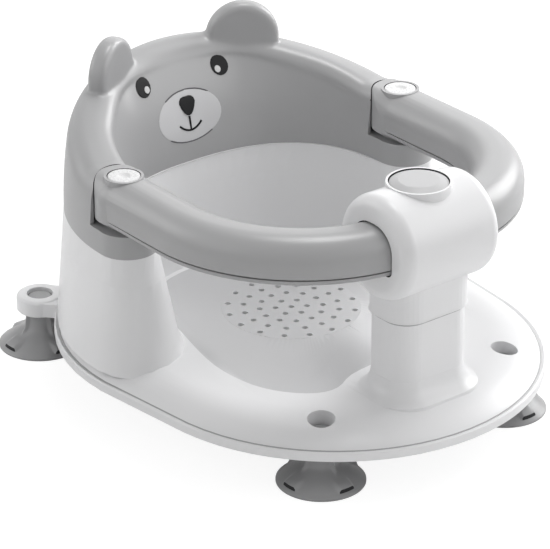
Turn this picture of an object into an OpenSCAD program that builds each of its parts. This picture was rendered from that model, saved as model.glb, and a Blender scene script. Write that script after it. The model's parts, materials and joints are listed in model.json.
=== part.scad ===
// Baby bath seat with an animal backrest, two swing-out arms and a push-button catch.
// +Z is up, -Y is the front, X = 0 is the plane of symmetry, and the suction cups stand on Z = 0.

/* [Base] */
// Overall width of the base
base_w = 305; // [296:1:316]
// Y of the front edge of the base
base_front = -184; // [-190:1:-180]
// Y of the rear edge of the base
base_rear = 181; // [179:0.5:183]
// How much narrower the base is on each side at its rounded front
front_taper = 7; // [5:0.5:11]
// Height of the deck over the front suction cups
deck_h = 45.5; // [43:0.5:48]
// Drop from the deck to the lip along the outer edge
lip_drop = 10; // [9.8:0.2:12]
// Height of the outer skirt below the lip
skirt_h = 6.5; // [5:0.5:8]
// Wall thickness of the mouldings
wall = 3; // [2.4:0.1:3.4]

/* [Seat] */
// Height of the seat surface above the deck, at the drain holes
seat_rise = 5.5; // [4:0.5:6.5]
// Diameter of a drain hole
drain_d = 4.2; // [3:0.2:5.4]
// Number of rings of drain holes
drain_rings = 4; // [2:1:4]
// Distance between the rings of drain holes
drain_pitch = 11.1; // [9:0.1:11.5]
// Y of the middle of the drain holes
drain_y = 7.2; // [0.2:1:12.2]

/* [Back wall] */
// Height of the joint between the white wall and the backrest
split_z = 124; // [118:1:130]
// Step from the side of the base in to the wall, at the joint
side_step = 10.5; // [8.5:0.5:14]
// Step from the rear edge of the base in to the wall, at the joint
rear_step = 8; // [7.5:0.5:11]
// Radius of the rounded ends of the wall at the joint
end_r = 20.5; // [18:0.5:22]
// Depth of the seat behind the wall's centre, at the joint
back_depth = 87; // [80:1:92]
// Outward flare of the wall towards its foot, per millimetre of height
back_flare = 0.08; // [0.05:0.005:0.09]
// Growth of the rounded ends towards the foot, per millimetre of height
end_flare = 0.145; // [0.1:0.005:0.16]

/* [Backrest] */
// Height of the middle of the backrest
crest_h = 205; // [195:1:215]
// Distance from the outer surface in to the backrest's top line
crest_in = 22; // [19:0.5:25]
// Lean radius of the backrest's inner face
lean_r = 125; // [110:1:150]
// Radius of an ear
ear_r = 26; // [20:0.5:30]
// Thickness of an ear
ear_t = 14; // [10:0.5:18]
// Angle from the middle of the back to an ear
ear_angle = 29; // [24:1:36]
// Depth of the dish in the front of an ear
ear_dish = 2; // [1:0.25:4]

/* [Face] */
// Width of the muzzle
muzzle_w = 55; // [44:1:62]
// Height of the muzzle
muzzle_h = 36; // [30:1:42]
// Height of the muzzle's middle above the joint line, as a share of the backrest's height
muzzle_place = 0.4; // [0.36:0.01:0.44]
// Diameter of an eye
eye_d = 13.4; // [10:0.2:16]
// Distance between the eyes
eye_gap = 67; // [50:1:80]
// Height of the eyes above the joint line, as a share of the backrest's height
eye_place = 0.74; // [0.68:0.01:0.78]
// Thickness of the printed inlays
inlay_t = 0.8; // [0.4:0.1:1.2]

/* [Arms] */
// Distance from the outer surface of the wall in to each hinge
hinge_in = 21.5; // [20:0.5:23]
// Distance of the hinges behind the centre of the wall
hinge_back = 4; // [2:0.5:6]
// Height of the underside of the arms
arm_z = 144; // [142:0.5:146]
// Width of an arm
arm_w = 38; // [32:0.5:38]
// Height of an arm
arm_h = 30.5; // [29:0.5:32]
// Radius of the bend of an arm
arm_bend = 99; // [96:0.5:103]
// Radius of the hinge knuckle
knuckle_r = 20; // [18:0.5:20]
// Gap between the knuckle and its pocket
pocket_gap = 0.6; // [0.4:0.1:1]
// Height of the cover strip under an arm
cover_h = 4.5; // [3.5:0.5:6]
// Diameter of the hinge pin
pin_d = 12; // [8:0.5:14]
// Radial running clearance of the hinge pin
pin_clear = 0.06; // [0.02:0.01:0.1]
// Diameter of the white hinge cap
cap_d = 22.4; // [18:0.2:24]
// Depth of the round dimple in the hinge cap
dimple = 1.2; // [0.4:0.1:1.6]

/* [Front post and catch] */
// Distance of the middle of the post and head from the front edge of the base
head_in = 58; // [55:0.5:60]
// Height of the middle of the head
head_z = 156.5; // [155.5:0.5:157.5]
// Radius of the barrel-shaped head
head_r = 36; // [34:0.5:37]
// Length of the head
head_l = 82; // [78:1:88]
// Rounding of the ends of the head
head_round = 9; // [5:0.5:11]
// Width of the post
post_w = 62; // [56:1:66]
// Depth of the post
post_d = 42; // [38:1:46]
// Corner radius of the post
post_corner = 16; // [12:0.5:18]
// Height of the lower edge of the collar
collar_z = 105; // [100:1:110]
// Thickness of the collar round the post
collar_t = 1.6; // [1.2:0.1:2.4]
// Distance of the middle of the button behind the middle of the head
button_back = 2; // [0:0.5:3]
// Diameter of the button
button_d = 39.4; // [34:0.2:42]
// Height of the edge of the button
button_z = 192.6; // [191:0.2:194]
// Diameter of the raised middle of the button
crown_d = 26.8; // [16:0.2:32]
// Height of the raised middle above the edge of the button
crown_h = 1.8; // [0.4:0.1:3]
// Travel of the button
button_travel = 4; // [2:0.5:4]
// Gap round the button
button_gap = 0.5; // [0.3:0.1:0.8]
// Length of the tongue on the end of an arm
tongue_l = 12; // [8:0.5:13]
// Gap between an arm's end and its recess in the head
arm_gap = 1; // [0.8:0.1:1.4]

/* [Suction cups] */
// Diameter of a suction cup
cup_d = 60; // [52:1:62]
// Width of a pull tab on the edge of a suction cup
tab_w = 9; // [6:0.5:12]
// Height of a suction cup's head above the web that holds it
head_h = 7.5; // [6:0.5:8]
// Distance of the front cups from the side of the base
front_cup_in = 65; // [60:0.5:68]
// Distance of the front cups from the front edge of the base
front_cup_back = 60; // [56:0.5:64]
// Distance of the rear cups outside the edge of the base
rear_cup_out = 14.7; // [12:0.1:16]
// Direction of the rear cups from the middle of the base's rear circle
rear_cup_angle = 48.6; // [45:0.2:52]
// Diameter of the holes over the cups
cup_hole_d = 18.6; // [17.4:0.2:20]
// Radius of the ears that carry the rear cups
lug_r = 16.5; // [15:0.5:18]
// Thickness of the ears that carry the rear cups
lug_t = 12.2; // [11.6:0.2:14]

/* [Hidden] */
$fn = 64;

// Gap between pieces that meet along a curved face
fit = 0.3;
// Outline of the base: a rear circle, a front circle and the tangents between them
rear_r = base_w / 2;
rear_cy = base_rear - rear_r;
nose_r = rear_r - front_taper;
nose_cy = base_front + nose_r;
// Heights of the base's edge and of the seat
lip_h = deck_h - lip_drop;
skirt_z = lip_h - skirt_h;
seat_h = deck_h + seat_rise;
// Back wall, hinges, head and button
back_r = rear_r - side_step;
back_y = base_rear - rear_step - back_r;
crest_r = back_r - crest_in;
hinge_x = back_r - hinge_in;
hinge_y = back_y + hinge_back;
head_y = base_front + head_in;
button_y = head_y + button_back;
// Suction cups
front_cup_x = nose_r - front_cup_in;
front_cup_y = base_front + front_cup_back;
rear_cup_x = (rear_r + rear_cup_out) * cos(rear_cup_angle);
rear_cup_y = rear_cy + (rear_r + rear_cup_out) * sin(rear_cup_angle);
side_turn = asin((nose_r - rear_r) / (rear_cy - nose_cy));
arc_n = 26;
end_n = 8;
// Deck: inset from the outer edge and height against deck_h
deck_profile = [[3, -9.8], [6, -8], [10, -5.7], [15, -3.3], [20, -1.5], [28, 0.3], [40, 1.6]];
// Right half of the edge of the seat pan, from the back to the front
pan_half = [
    [0, 98.5], [40, 94], [66, 76], [78, 47], [84, 22], [89.5, -6], [92, -35],
    [89, -62], [79, -83], [63, -98], [47, -100.5], [28, -92], [0, -89]
];
ledge_h = seat_h + 1;
trough = 13;
// Number of drain holes in each ring
ring_holes = [6, 12, 16, 16];
plate_r = drain_rings * drain_pitch + drain_d / 2 + 2;
// Height of the base's lower surfaces and of the web that holds the stem of a cup
web_z = skirt_z - 2;
web_t = 3;
cup_h = web_z + web_t + head_h;
neck_r = 6.6;
foot_z = deck_h - 5.5;
lug_h = web_z + lug_t;
spigot_w = post_w - 6;
spigot_d = post_d - 6;
spigot_r = post_corner - 3;
spigot_top = collar_z + 17;
arm_top = arm_z + arm_h;
ledge_top = arm_z - 3.5;
lug_gap = 0.1;
pin_top = arm_top - 10.4;
cap_t = 3.5;
dimple_r = 10.2;
well_z = button_z - 7.1 - button_travel;
bar_top = button_z - 48.6;
bar_h = 6;
stem_r = 5;
peg_x = head_l / 2 - 7.2;
tongue_z = head_z - 3;
tongue_h = 8;
tongue_w = 10;
recess_x = head_l / 2 - 2.2;
screw_r = 1.5;
flange_r = 9;
boss_r = cap_d / 2 + 2.2;
ear_z = crest_h - 6;
muzzle_z = split_z + (crest_h - split_z) * muzzle_place;
eye_z = split_z + (crest_h - split_z) * eye_place;

function mix(a, b, t) = a + (b - a) * t;
function clamp01(t) = min(1, max(0, t));
function ease(t) = let (u = clamp01(t)) u * u * (3 - 2 * u);
// A smooth closed curve through a list of points, with k steps for each span
function smooth_closed(p, k) = let (n = len(p)) [
    for (i = [0 : n - 1], j = [0 : k - 1])
        let (t = j / k, a = p[(i + n - 1) % n], b = p[i], c = p[(i + 1) % n], d = p[(i + 2) % n])
        0.5 * (2 * b + (c - a) * t + (2 * a - 5 * b + 4 * c - d) * t * t + (3 * b - a - 3 * c + d) * t * t * t)
];
// Distance from a centre to a closed line of points, in the direction a
function ray_to(p, o, a) = let (
        n = len(p),
        d = [cos(a), sin(a)],
        hits = [
            for (i = [0 : n - 1])
                let (u = p[i] - o, v = p[(i + 1) % n] - o, e = v - u, det = d[0] * e[1] - d[1] * e[0])
                if (abs(det) > 1e-9)
                    let (s = (u[0] * e[1] - u[1] * e[0]) / det, t = (u[0] * d[1] - u[1] * d[0]) / det)
                    if (s > 0 && t >= -1e-6 && t <= 1 + 1e-6) s
        ]
    ) max(hits);
// Points of an arc about a centre
function arc(c, r, from, to, n) = [
    for (i = [0 : n]) let (a = mix(from, to, i / n)) [c[0] + r * cos(a), c[1] + r * sin(a)]
];

// A closed skin over a list of rings that all have the same number of points
module loft(rings) {
    n = len(rings[0]);
    m = len(rings);
    polyhedron(
        points = [for (r = rings) each r],
        faces = concat(
            [[for (i = [0 : n - 1]) i]],
            [
                for (k = [0 : m - 2], i = [0 : n - 1])
                    let (a = k * n + i, b = k * n + (i + 1) % n, c = b + n, d = a + n)
                    each [[a, d, c], [a, c, b]]
            ],
            [[for (i = [n - 1 : -1 : 0]) (m - 1) * n + i]]
        ),
        convexity = 10
    );
}
module both() {
    children();
    mirror([1, 0, 0])
        children();
}
module at_hinge() {
    translate([hinge_x, hinge_y, 0])
        children();
}
// A rounded rectangle as a list of points
function round_rect(w, d, r, n = 8) = concat(
    arc([w / 2 - r, d / 2 - r], r, 0, 90, n), arc([r - w / 2, d / 2 - r], r, 90, 180, n),
    arc([r - w / 2, r - d / 2], r, 180, 270, n), arc([w / 2 - r, r - d / 2], r, 270, 360, n)
);

// Seat pan: its edge as a smooth line, from the right-hand side round the back
pan_edge = smooth_closed(concat(
    [for (i = [4 : -1 : 0]) pan_half[i]],
    [for (i = [1 : len(pan_half) - 2]) [-pan_half[i][0], pan_half[i][1]]],
    [for (i = [len(pan_half) - 1 : -1 : 5]) pan_half[i]]
), 3);
base_n = len(pan_edge);
pan_turn = [for (p = pan_edge) atan2(p[1] - drain_y, p[0])];
function pan_inset(i, d) = pan_edge[i] - d * [cos(pan_turn[i]), sin(pan_turn[i])];
// Base: a ring of points of the outer edge, moved inwards
function edge_ring(inset, z) = [
    for (a = pan_turn)
        let (rear = sin(a) >= sin(side_turn), r = (rear ? rear_r : nose_r) - inset)
        [r * cos(a), (rear ? rear_cy : nose_cy) + r * sin(a), z]
];
// Height of the pan's floor, with a trough for each thigh, and of its rim
function pan_floor(x, y) =
    seat_h - trough * ease((drain_y - 12 - y) / 70) * ease(abs(x) / 42) - 1.2 * ease((-60 - y) / 50);
function pan_rim(y) = mix(deck_h + 2.3, ledge_h, ease((y + 30) / 60));
// A ring of the pan: d is the distance from its edge, s the share of the way to the drain plate
function pan_ring(d, s, t) = [
    for (i = [0 : base_n - 1])
        let (
            e = pan_inset(i, d),
            c = [0, drain_y] + (plate_r - 0.6) * [cos(pan_turn[i]), sin(pan_turn[i])],
            p = mix(e, c, s),
            rim = pan_rim(pan_edge[i][1]),
            z = mix(rim, pan_floor(p[0], p[1]), sin(90 * clamp01(d / pan_wall)))
        )
        [p[0], p[1], (s == 1 ? seat_h - 0.1 : z) - t]
];
pan_wall = 9;
// Solid body under the deck and the pan; t lowers and narrows it to give the cavity
module base_form(t) {
    skip = t > 0 ? 2 : 1;
    n = len(deck_profile) - 1;
    loft(concat(
        [edge_ring(t, skirt_z - t), edge_ring(t, lip_h - 1 - t), edge_ring(t + 1, lip_h - t)],
        [
            for (k = [0 : skip : n])
                edge_ring(max(deck_profile[k][0], t + 1.5), deck_h + deck_profile[k][1] - t)
        ],
        [for (k = [0 : skip : 4]) pan_ring(pan_wall * k / 4, 0, t)],
        [for (k = [skip : skip : 4]) pan_ring(pan_wall, k / 4, t)]
    ));
}

// Back wall: an arc outside, a squarer curve inside and round ends
function wall_out(z) = min(back_r + back_flare * (split_z - z), base_rear - back_y - 0.8);
function foot_sweep(z, most) = most * pow(clamp01((foot_z + 18 - z) / 18), 2);
function squircle(a, b, q) = let (n = 2.45)
    pow(pow(abs(cos(q)) / a, n) + pow(abs(sin(q)) / b, n), -1 / n);
function wall_ring(z, t) = let (
        out = wall_out(z),
        e = end_r + end_flare * (split_z - z) + foot_sweep(z, 6),
        cx = out - e,
        seat = back_depth - 0.19 * (split_z - z) - foot_sweep(z, 5)
    ) [
        for (i = [0 : arc_n]) let (q = 180 * i / arc_n)
            [(out - t) * cos(q), back_y + (out - t) * sin(q), z],
        for (i = [1 : end_n - 1]) let (q = 180 + 180 * i / end_n)
            [(e - t) * cos(q) - cx, back_y + (e - t) * sin(q), z],
        for (i = [0 : arc_n]) let (q = 180 - 180 * i / arc_n, s = squircle(cx - e + t, seat + t, q))
            [s * cos(q), back_y + s * sin(q), z],
        for (i = [1 : end_n - 1]) let (q = 180 + 180 * i / end_n)
            [cx + (e - t) * cos(q), back_y + (e - t) * sin(q), z]
    ];
module back_wall() {
    loft([for (z = concat([for (h = [0, 3, 7, 12, 18, 50]) foot_z + h], [split_z])) wall_ring(z, 0)]);
}
module back_wall_hollow() {
    loft([for (z = concat([for (h = [-20, 0, 7, 18]) foot_z + h], [split_z - wall])) wall_ring(z, wall)]);
}
module post_foot() {
    loft([
        for (s = [[-8, 13], [0, 10], [2, 6], [5, 3], [9, 1], [14, 0.1]])
            [
                for (p = round_rect(post_w + 2 * s[1], post_d + 2 * s[1], post_corner + s[1]))
                    [p[0], head_y + p[1], deck_h + s[0] + 1.5]
            ]
    ]);
}
// Sockets for the front cups and stiffening ribs, which stay inside the cavity
module underside() {
    both() {
        translate([front_cup_x, front_cup_y, web_z])
            cylinder(d = cup_hole_d + 2 * wall, h = 30, $fn = 32);
        translate([58, -60, skirt_z])
            rotate([0, 0, -58])
                cube([64, 2, 30]);
        translate([100, -60, skirt_z])
            cube([2, 110, 30]);
        translate([30, -150, skirt_z])
            cube([2, 45, 30]);
    }
    difference() {
        translate([0, drain_y, skirt_z])
            cylinder(r = plate_r + 6, h = 30, $fn = 48);
        translate([0, drain_y, 0])
            cylinder(r = plate_r + 4, h = 90, $fn = 48);
    }
}
// All free-form surfaces of the base, set to the exact overall width
module base_moulding() {
    resize([base_w, 0, 0])
        difference() {
            union() {
                base_form(0);
                back_wall();
                post_foot();
            }
            difference() {
                union() {
                    base_form(wall);
                    back_wall_hollow();
                }
                underside();
            }
            translate([0, drain_y, 0])
                cylinder(r = plate_r - 1.2, h = 90, $fn = 72);
        }
}
module drain_plate() {
    translate([0, drain_y, seat_h - wall])
        difference() {
            cylinder(r = plate_r, h = wall);
            for (k = [1 : drain_rings], i = [1 : ring_holes[k - 1]])
                rotate([0, 0, 360 * i / ring_holes[k - 1] + (k == 1 ? 30 : 0)])
                    translate([k * drain_pitch, 0, -1])
                        cylinder(d = drain_d, h = wall + 2);
            translate([0, 0, -1])
                cylinder(d = drain_d, h = wall + 2);
        }
}
module rear_lug() {
    turn = atan2(rear_cup_y - rear_cy, rear_cup_x);
    translate([rear_cup_x, rear_cup_y, 0]) {
        rotate_extrude()
            polygon(concat(
                [[0, web_z], [lug_r - 1, web_z], [lug_r, web_z + 1]],
                arc([lug_r - 2.5, lug_h - 2.5], 2.5, 0, 90, 5),
                [[0, lug_h]]
            ));
        rotate([0, 0, turn])
            translate([-22, 1 - lug_r, web_z + 1])
                cube([22, 2 * lug_r - 2, lug_h - web_z - 2]);
    }
}
module cup_bore() {
    translate([0, 0, web_z + web_t])
        cylinder(d = cup_hole_d, h = 40);
    translate([0, 0, web_z - 10])
        cylinder(r = neck_r + fit, h = 40);
}
module post_body(w, d, r, from, to) {
    translate([0, head_y, from])
        linear_extrude(height = to - from)
            polygon(round_rect(w, d, r));
}
module backrest_screw_places() {
    for (q = [62, 118, 28, 152])
        translate([(back_r - 7.5) * cos(q), back_y + (back_r - 7.5) * sin(q), 0])
            children();
}
module head_screw_places() {
    for (x = [-19, 19], y = [-10, 10])
        translate([x, head_y + y, 0])
            children();
}
module base_shell() {
    color("white")
        difference() {
            union() {
                base_moulding();
                drain_plate();
                post_body(post_w, post_d, post_corner, deck_h - 4, collar_z);
                post_body(spigot_w, spigot_d, spigot_r, collar_z - 1, spigot_top);
                both()
                    rear_lug();
            }
            post_body(post_w - 2 * wall, post_d - 2 * wall, post_corner - wall, 0, collar_z - 2 * wall);
            post_body(spigot_w - 6, spigot_d - 6, spigot_r - 3, collar_z - 10, spigot_top - wall);
            both() {
                translate([front_cup_x, front_cup_y, 0])
                    cup_bore();
                translate([rear_cup_x, rear_cup_y, 0])
                    cup_bore();
            }
            backrest_screw_places()
                translate([0, 0, split_z - 10])
                    cylinder(r = screw_r + fit, h = 20);
            head_screw_places()
                translate([0, 0, spigot_top - 10])
                    cylinder(r = screw_r + fit, h = 20);
        }
}

// Backrest: height of its top line, and its section at the angle a, all thinner by t
function crest_top(a) = let (q = abs(a - 90)) arm_top + (crest_h - arm_top) * cos(90 * min(q, 76) / 76);
function seat_face(a, z) =
    squircle(back_r - 2 * end_r, back_depth, a) + lean_r - sqrt(lean_r * lean_r - pow(z - split_z, 2));
function outer_face(z) = back_r - 0.0014 * pow(z - split_z, 2);
function bend(a, b, c, t) = (1 - t) * (1 - t) * a + 2 * t * (1 - t) * b + t * t * c;
function crest_section(a, t, z0) = let (
        zt = crest_top(a) - t,
        zs = zt - 15,
        si = seat_face(a, zs) + t,
        so = outer_face(zs) - t,
        ridge = [crest_r, zt],
        ci = [min(seat_face(a, zt) + t, crest_r - 1.5), zt],
        co = [max(outer_face(zt) - t, crest_r + 1.5), zt]
    ) concat(
        [for (i = [0 : 3]) let (z = mix(z0, zs, i / 4)) [seat_face(a, max(z, split_z)) + t, z]],
        [for (i = [0 : 4]) bend([si, zs], ci, ridge, i / 5)],
        [for (i = [0 : 5]) bend(ridge, co, [so, zs], i / 5)],
        [for (i = [1 : 2]) let (z = mix(zs, z0, i / 2)) [outer_face(max(z, split_z)) - t, z]]
    );
module crest(t, z0, from, to, n) {
    loft([
        for (i = [0 : n])
            let (a = mix(from, to, i / n))
            [for (p = crest_section(a, t, z0)) [p[0] * cos(a), back_y + p[0] * sin(a), p[1]]]
    ]);
}
module ear() {
    translate([0, back_y, 0])
        rotate([0, 0, -ear_angle])
            translate([0, crest_r - 1, ear_z])
                rotate([90, 0, 0])
                    rotate_extrude()
                        polygon(concat(
                            [[0, -ear_t / 2]],
                            arc([ear_r - 5, 5 - ear_t / 2], 5, -90, 0, 6),
                            arc([ear_r - 5, ear_t / 2 - 5], 5, 0, 90, 6),
                            [[ear_r - 6, ear_t / 2], [ear_r - 8, ear_t / 2 - ear_dish], [0, ear_t / 2 - ear_dish]]
                        ));
}
module crest_moulding() {
    resize([0, 0, crest_h - split_z])
        difference() {
            crest(0, split_z, 0, 180, 40);
            difference() {
                crest(wall, split_z - 5, 14, 166, 22);
                backrest_screw_places()
                    translate([0, 0, split_z])
                        cylinder(r = 5, h = 26, $fn = 24);
            }
            face_places(fit / 2);
        }
}
module bear_backrest() {
    color("darkgray")
        difference() {
            union() {
                crest_moulding();
                both() {
                    ear();
                    translate([back_r - end_r, back_y, split_z])
                        cylinder(r = end_r, h = ledge_top - split_z);
                }
            }
            both() {
                translate([back_r - 80, back_y - 40, ledge_top])
                    cube([100, hinge_y + 11.5 - back_y + 40, 80]);
                at_hinge() {
                    translate([0, 0, ledge_top])
                        cylinder(r = knuckle_r + pocket_gap, h = 80);
                    translate([0, 0, split_z - 1])
                        cylinder(r = pin_d / 2 + pin_clear, h = 20);
                    translate([0, 0, split_z - 1])
                        cylinder(r = flange_r + fit, h = 4.1);
                }
            }
            backrest_screw_places()
                translate([0, 0, split_z - 1])
                    cylinder(r = screw_r, h = 15);
        }
}

// Face: patches that lie on the seat side of the backrest
function face_angle(x, z, a, k) = k == 0 ? a : face_angle(x, z, acos(x / seat_face(a, z)), k - 1);
function face_point(x, z, lift) = let (a = face_angle(x, z, 90, 5), s = seat_face(a, z) - lift)
    [s * cos(a), back_y + s * sin(a), z];
// A patch with an outline around c, from a depth inside the surface to a lift above it
module patch(outline, c, lift, depth) {
    loft([
        for (k = [[0.5, -depth], [1, -depth], [1, mix(-depth, lift, 0.75)], [0.93, lift], [0.5, lift]])
            [for (p = outline) face_point(c[0] + p[0] * k[0], c[1] + p[1] * k[0], k[1])]
    ]);
}
// A line of width w drawn on the surface along a list of points, and grown on all sides
module band(path, w, grow, lift, depth) {
    n = len(path) - 1;
    loft([
        for (i = [0 : n])
            let (
                d = path[min(n, i + 1)] - path[max(0, i - 1)],
                e = d / norm(d),
                m = path[i] + e * (i == 0 ? -grow : i == n ? grow : 0),
                u = [-e[1], e[0]] * (w / 2 + grow),
                p = m + u,
                q = m - u
            )
            [
                face_point(p[0], p[1], -depth), face_point(p[0], p[1], lift),
                face_point(q[0], q[1], lift), face_point(q[0], q[1], -depth)
            ]
    ]);
}
function ellipse(a, b, n) = [for (i = [0 : n - 1]) [a * cos(360 * i / n), b * sin(360 * i / n)]];
module muzzle_patch(grow, lift, depth) {
    patch(ellipse(muzzle_w / 2 + grow, muzzle_h / 2 + grow, 36), [0, muzzle_z], lift, depth);
}
module eye_patch(grow, lift, depth) {
    patch(ellipse(eye_d / 2 + grow, eye_d / 2 + grow, 18), [eye_gap / 2, eye_z], lift, depth);
}
module face_places(grow) {
    muzzle_patch(grow, 3, inlay_t + grow);
    both()
        eye_patch(grow, 3, inlay_t + grow);
}
// A rounded triangle with its point downwards
nose_shape = smooth_closed([
    [6.8, 2.5], [4.6, 6.1], [0, 6.6], [-4.6, 6.1], [-6.8, 2.5], [-3.6, -4.2], [0, -6.4], [3.6, -4.2]
], 2);
nose_c = [0, muzzle_z + 7];
module nose_patch(grow, lift, depth) {
    patch([for (p = nose_shape) p * (1 + grow / 7)], nose_c, lift, depth);
}
module mouth_lines(grow, lift, depth) {
    band([for (z = [nose_c[1] - 7, nose_c[1] - 10, muzzle_z - 9.8]) [0, z]], 1.3, grow, lift, depth);
    band([for (i = [-6 : 6]) [i * 1.6, muzzle_z - 9.8 + 4.6 * pow(i / 6, 2)]], 1.3, grow, lift, depth);
}
module muzzle() {
    color("gainsboro")
        resize([muzzle_w, 0, 0])
            difference() {
                muzzle_patch(0, 0.4, inlay_t);
                nose_patch(fit / 2, 3, fit / 2);
                mouth_lines(fit / 2, 3, fit / 2);
            }
}
module nose() {
    color("dimgray")
        nose_patch(0, 1, 0);
}
module mouth() {
    color("dimgray")
        mouth_lines(0, 0.6, 0);
}
module right_eye() {
    color("black")
        eye_patch(0, 0.6, inlay_t);
}
module left_eye() {
    mirror([1, 0, 0])
        right_eye();
}
module glint() {
    color("white")
        patch(ellipse(2.3, 2.3, 12), [eye_gap / 2 - 2.2, eye_z - 2], 0.95, -0.65);
}
module right_eye_glint() {
    glint();
}
module left_eye_glint() {
    mirror([1, 0, 0])
        glint();
}

// Section of an arm, with its crown on top; t is the distance to the outer surface
function arm_section(t, z0) = let (h = arm_h - t, r = arm_w / 2 - 2.5, q = cover_h - 1) concat(
    [[0, z0]],
    z0 > 0 ? [[arm_w / 2 - t, z0]] : arc([arm_w / 2 - q, q], q - t, -90, 0, 5),
    arc([arm_w / 2 - t - (r - t), h - (r - t)], r - t, 0, 90, 8),
    [[0, h]]
);
function arm_profile(t, z0) = let (s = arm_section(t, z0))
    concat(s, [for (i = [len(s) - 2 : -1 : 1]) [-s[i][0], s[i][1]]]);
// The straight part of an arm ends where the bend, from there, meets the middle of the head
arm_end = recess_x + arm_gap;
arm_cut = head_y + sqrt(pow(arm_bend, 2) - pow(arm_end - (hinge_x - arm_bend), 2));
arm_straight = hinge_y - arm_cut;
module arm_run(profile) {
    at_hinge()
        translate([0, 0, arm_z])
            rotate([90, 0, 0])
                linear_extrude(height = arm_straight)
                    polygon(profile);
    difference() {
        translate([hinge_x - arm_bend, arm_cut, arm_z])
            rotate_extrude(angle = -100)
                translate([arm_bend, 0])
                    polygon(profile);
        translate([arm_end - 80, head_y - 50, arm_z - 10])
            cube([80, 100, 60]);
    }
}
module knuckle() {
    at_hinge() {
        translate([0, 0, arm_z])
            rotate_extrude()
                polygon([for (p = arm_section(0, 0)) [p[0] * knuckle_r * 2 / arm_w, p[1]]]);
        translate([0, 0, ledge_top + lug_gap])
            cylinder(r = boss_r, h = arm_top + 0.4 - ledge_top - lug_gap);
    }
}
module arm_shell() {
    color("darkgray")
        difference() {
            union() {
                difference() {
                    arm_run(arm_profile(0, cover_h));
                    arm_run(arm_profile(wall, cover_h - 1));
                }
                knuckle();
                translate([arm_end - tongue_l, head_y - tongue_w / 2, tongue_z])
                    cube([tongue_l + 6, tongue_w, tongue_h]);
                translate([arm_end, head_y - 12, arm_z + cover_h + 2])
                    cube([wall, 24, arm_h - cover_h - 6]);
            }
            at_hinge() {
                translate([0, 0, arm_z - 10])
                    cylinder(r = pin_d / 2 + pin_clear, h = 60);
                translate([0, 0, pin_top])
                    cylinder(r = cap_d / 2 - 1, h = 20);
                translate([0, 0, arm_top - cap_t])
                    cylinder(r = cap_d / 2 + fit, h = 20);
            }
            translate([peg_x, head_y, tongue_z - 1])
                cylinder(r = 3, h = tongue_h + 2);
        }
}
module right_arm() {
    arm_shell();
}
module left_arm() {
    mirror([1, 0, 0])
        arm_shell();
}
// Strip that closes the open underside of an arm
module arm_cover() {
    color("gray")
        difference() {
            arm_run(cover_profile());
            at_hinge()
                translate([0, 0, arm_z - 1])
                    cylinder(r = knuckle_r + fit, h = 40);
        }
}
function cover_profile() = let (w = arm_w / 2 - fit, q = cover_h - 1) concat(
    arc([q - w, q], q, 180, 270, 5), arc([w - q, q], q, 270, 360, 5), [[w, cover_h], [-w, cover_h]]
);
module right_arm_cover() {
    arm_cover();
}
module left_arm_cover() {
    mirror([1, 0, 0])
        arm_cover();
}

// Hinge: a pin held under the backrest, a screw with a washer head, and a white cap
module hinge_pin() {
    color("silver")
        at_hinge()
            difference() {
                union() {
                    translate([0, 0, split_z])
                        cylinder(r = flange_r, h = 3);
                    translate([0, 0, split_z])
                        cylinder(d = pin_d, h = pin_top + 0.1 - split_z);
                }
                translate([0, 0, pin_top - 20])
                    cylinder(r = 2.5, h = 30);
            }
}
module right_hinge_pin() {
    hinge_pin();
}
module left_hinge_pin() {
    mirror([1, 0, 0])
        hinge_pin();
}
module hinge_screw() {
    color("silver")
        at_hinge()
            difference() {
                union() {
                    translate([0, 0, pin_top - 18])
                        cylinder(r = 2.5, h = 19);
                    translate([0, 0, pin_top + 0.1])
                        cylinder(r = 9, h = 1.4);
                    translate([0, 0, pin_top + 0.1])
                        cylinder(r = 5, h = 3.4);
                }
                cross_slot(pin_top + 2.2, 6);
            }
}
module cross_slot(z, w) {
    for (a = [0, 90])
        rotate([0, 0, a])
            translate([-w / 2, -0.6, z])
                cube([w, 1.2, 5]);
}
module right_hinge_screw() {
    hinge_screw();
}
module left_hinge_screw() {
    mirror([1, 0, 0])
        hinge_screw();
}
module hinge_cap() {
    color("white")
        at_hinge()
            translate([0, 0, arm_top - cap_t])
                difference() {
                    rotate_extrude()
                        polygon(concat(
                            [[0, 0], [cap_d / 2, 0]],
                            arc([cap_d / 2 - 1, cap_t - 0.6], 1, 0, 90, 4),
                            [[0, cap_t + 0.4]]
                        ));
                    translate([0, 0, cap_t + 0.4 + dimple_r - dimple])
                        sphere(r = dimple_r);
                }
}
module right_hinge_cap() {
    hinge_cap();
}
module left_hinge_cap() {
    mirror([1, 0, 0])
        hinge_cap();
}

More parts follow.
